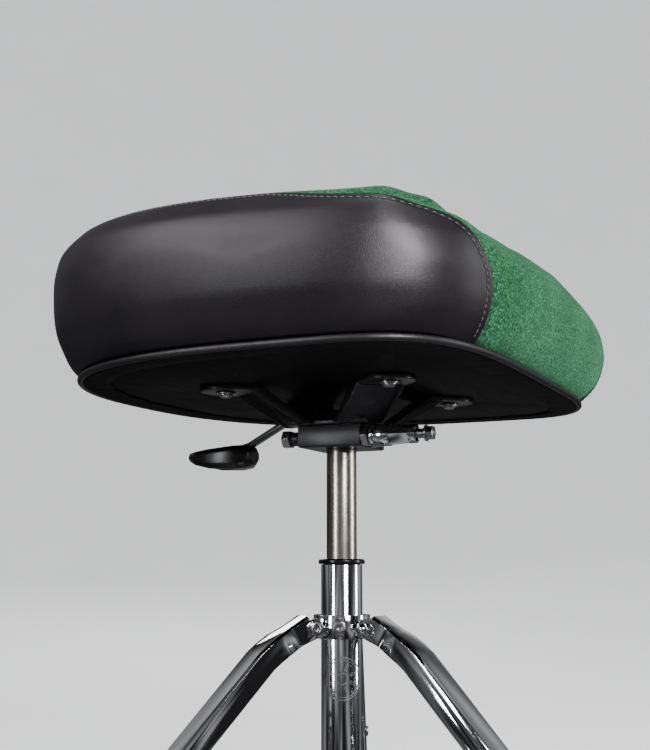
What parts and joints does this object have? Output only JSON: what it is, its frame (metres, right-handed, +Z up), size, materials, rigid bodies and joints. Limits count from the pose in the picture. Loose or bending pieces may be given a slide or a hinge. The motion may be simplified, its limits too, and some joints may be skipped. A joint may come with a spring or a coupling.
{
  "type": "drum throne",
  "caption": "Height-adjustable drummer's stool: padded saddle seat with a plush top and vinyl side band on a spider bracket, swivelling on a gas column in a folding tripod base.",
  "frame": {"origin": "on the floor, on the axis of the gas column", "axes": "+Z up along the column; the rider faces -Y, so the front edge of the seat is at -Y and the release lever at +Y; +X is the rider's left"},
  "size_m": [0.5594, 0.4918, 0.5608],
  "materials": {
    "velour": "ribbed plush",
    "vinyl": "satin grained vinyl",
    "board": "black-painted plywood",
    "black_paint": "satin black",
    "chrome": "polished",
    "nickel": "satin nickel",
    "steel": "zinc plated",
    "plastic": "moulded",
    "rubber": "matt"
  },
  "bodies": {
    "base": {"base_tube": "chrome", "tube_bushing": "plastic", "tube_end_cap": "plastic", "rod_nut": "steel", "piston_rod": "steel", "lower_collar": "chrome", "lower_collar_screw": "steel", "brace_pin_1": "steel", "brace_pin_2": "steel", "brace_pin_3": "steel"},
    "carriage": {"upper_collar": "chrome", "collar_clamp_screw": "steel", "leg_bolt_1": "steel", "leg_bolt_2": "steel", "leg_bolt_3": "steel", "leg_cap_nut_1": "chrome", "leg_cap_nut_2": "chrome", "leg_cap_nut_3": "chrome"},
    "column": {"gas_cylinder": "nickel", "rod_gland": "steel"},
    "button": {"release_button": "steel"},
    "seat": {"seat_cushion": "velour", "side_band": "vinyl", "seat_piping": "vinyl", "seat_board": "board", "tee_nut_front_right": "steel", "tee_nut_front_left": "steel", "tee_nut_rear_left": "steel", "tee_nut_rear_right": "steel", "bracket_screw_front_right": "steel", "bracket_screw_front_left": "steel", "bracket_screw_rear_left": "steel", "bracket_screw_rear_right": "steel", "spider_bracket": "black_paint", "hub_block": "black_paint", "tension_bolt": "steel", "tension_spacer": "black_paint", "tension_lock_nut": "steel", "adjuster_ring": "chrome", "adjuster_end_nut": "steel", "lever_pin": "steel"},
    "adjuster": {"adjuster_sleeve": "chrome"},
    "lever": {"lever_arm": "black_paint", "lever_paddle": "plastic"},
    "leg_1": {"leg_1": "chrome", "foot_1": "rubber", "brace_rivet_1": "steel"},
    "brace_1": {"brace_1": "chrome"},
    "leg_2": {"leg_2": "chrome", "foot_2": "rubber", "brace_rivet_2": "steel"},
    "brace_2": {"brace_2": "chrome"},
    "leg_3": {"leg_3": "chrome", "foot_3": "rubber", "brace_rivet_3": "steel"},
    "brace_3": {"brace_3": "chrome"}
  },
  "joints": [
    {"name": "height_slide", "type": "slide", "parent": "base", "child": "column", "axis": [0, 0, 1], "range_m": [-0.085, 0.055]},
    {"name": "seat_swivel", "type": "hinge", "parent": "column", "child": "seat", "pos_m": [0, 0, 0.3868], "axis": [0, 0, 1], "continuous": true},
    {"name": "release_lever", "type": "hinge", "parent": "seat", "child": "lever", "pos_m": [0, 0.022, 0.4004], "axis": [1, 0, 0], "range_deg": [0, 5.5], "stiffness_Nm_per_rad": 2, "springref_deg": -8.59},
    {"name": "button_press", "type": "slide", "parent": "column", "child": "button", "axis": [0, 0, -1], "range_m": [0, 0.0029]},
    {"name": "tension_adjuster", "type": "hinge", "parent": "seat", "child": "adjuster", "pos_m": [-0.022, -0.06, 0.3757], "axis": [0, -1, 0], "continuous": true},
    {"name": "tripod_slide", "type": "slide", "parent": "base", "child": "carriage", "axis": [0, 0, 1], "range_m": [0, 0.044]},
    {"name": "leg_fold_1", "type": "hinge", "parent": "carriage", "child": "leg_1", "pos_m": [0.03087, 0.01167, 0.2029], "axis": [-0.3535, 0.9354, 0], "range_deg": [0, 8.5]},
    {"name": "brace_swing_1", "type": "hinge", "parent": "base", "child": "brace_1", "pos_m": [0.03087, 0.01167, 0.027], "axis": [0.3535, -0.9354, 0], "range_deg": [0, 13.5]},
    {"name": "leg_fold_2", "type": "hinge", "parent": "carriage", "child": "leg_2", "pos_m": [-0.02554, 0.0209, 0.2029], "axis": [-0.6334, -0.7738, 0], "range_deg": [0, 8.5]},
    {"name": "brace_swing_2", "type": "hinge", "parent": "base", "child": "brace_2", "pos_m": [-0.02554, 0.0209, 0.027], "axis": [0.6334, 0.7738, 0], "range_deg": [0, 13.5]},
    {"name": "leg_fold_3", "type": "hinge", "parent": "carriage", "child": "leg_3", "pos_m": [-0.00533, -0.03257, 0.2029], "axis": [0.9869, -0.1616, 0], "range_deg": [0, 8.5]},
    {"name": "brace_swing_3", "type": "hinge", "parent": "base", "child": "brace_3", "pos_m": [-0.00533, -0.03257, 0.027], "axis": [-0.9869, 0.1616, 0], "range_deg": [0, 13.5]}
  ],
  "couplings": [
    {"joint": "button_press", "follows": "release_lever", "m_per_rad": 0.0255},
    {"joint": "leg_fold_1", "follows": "tripod_slide", "rad_per_m": 3.29},
    {"joint": "brace_swing_1", "follows": "tripod_slide", "rad_per_m": 5.196},
    {"joint": "leg_fold_2", "follows": "tripod_slide", "rad_per_m": 3.29},
    {"joint": "brace_swing_2", "follows": "tripod_slide", "rad_per_m": 5.196},
    {"joint": "leg_fold_3", "follows": "tripod_slide", "rad_per_m": 3.29},
    {"joint": "brace_swing_3", "follows": "tripod_slide", "rad_per_m": 5.196}
  ]
}
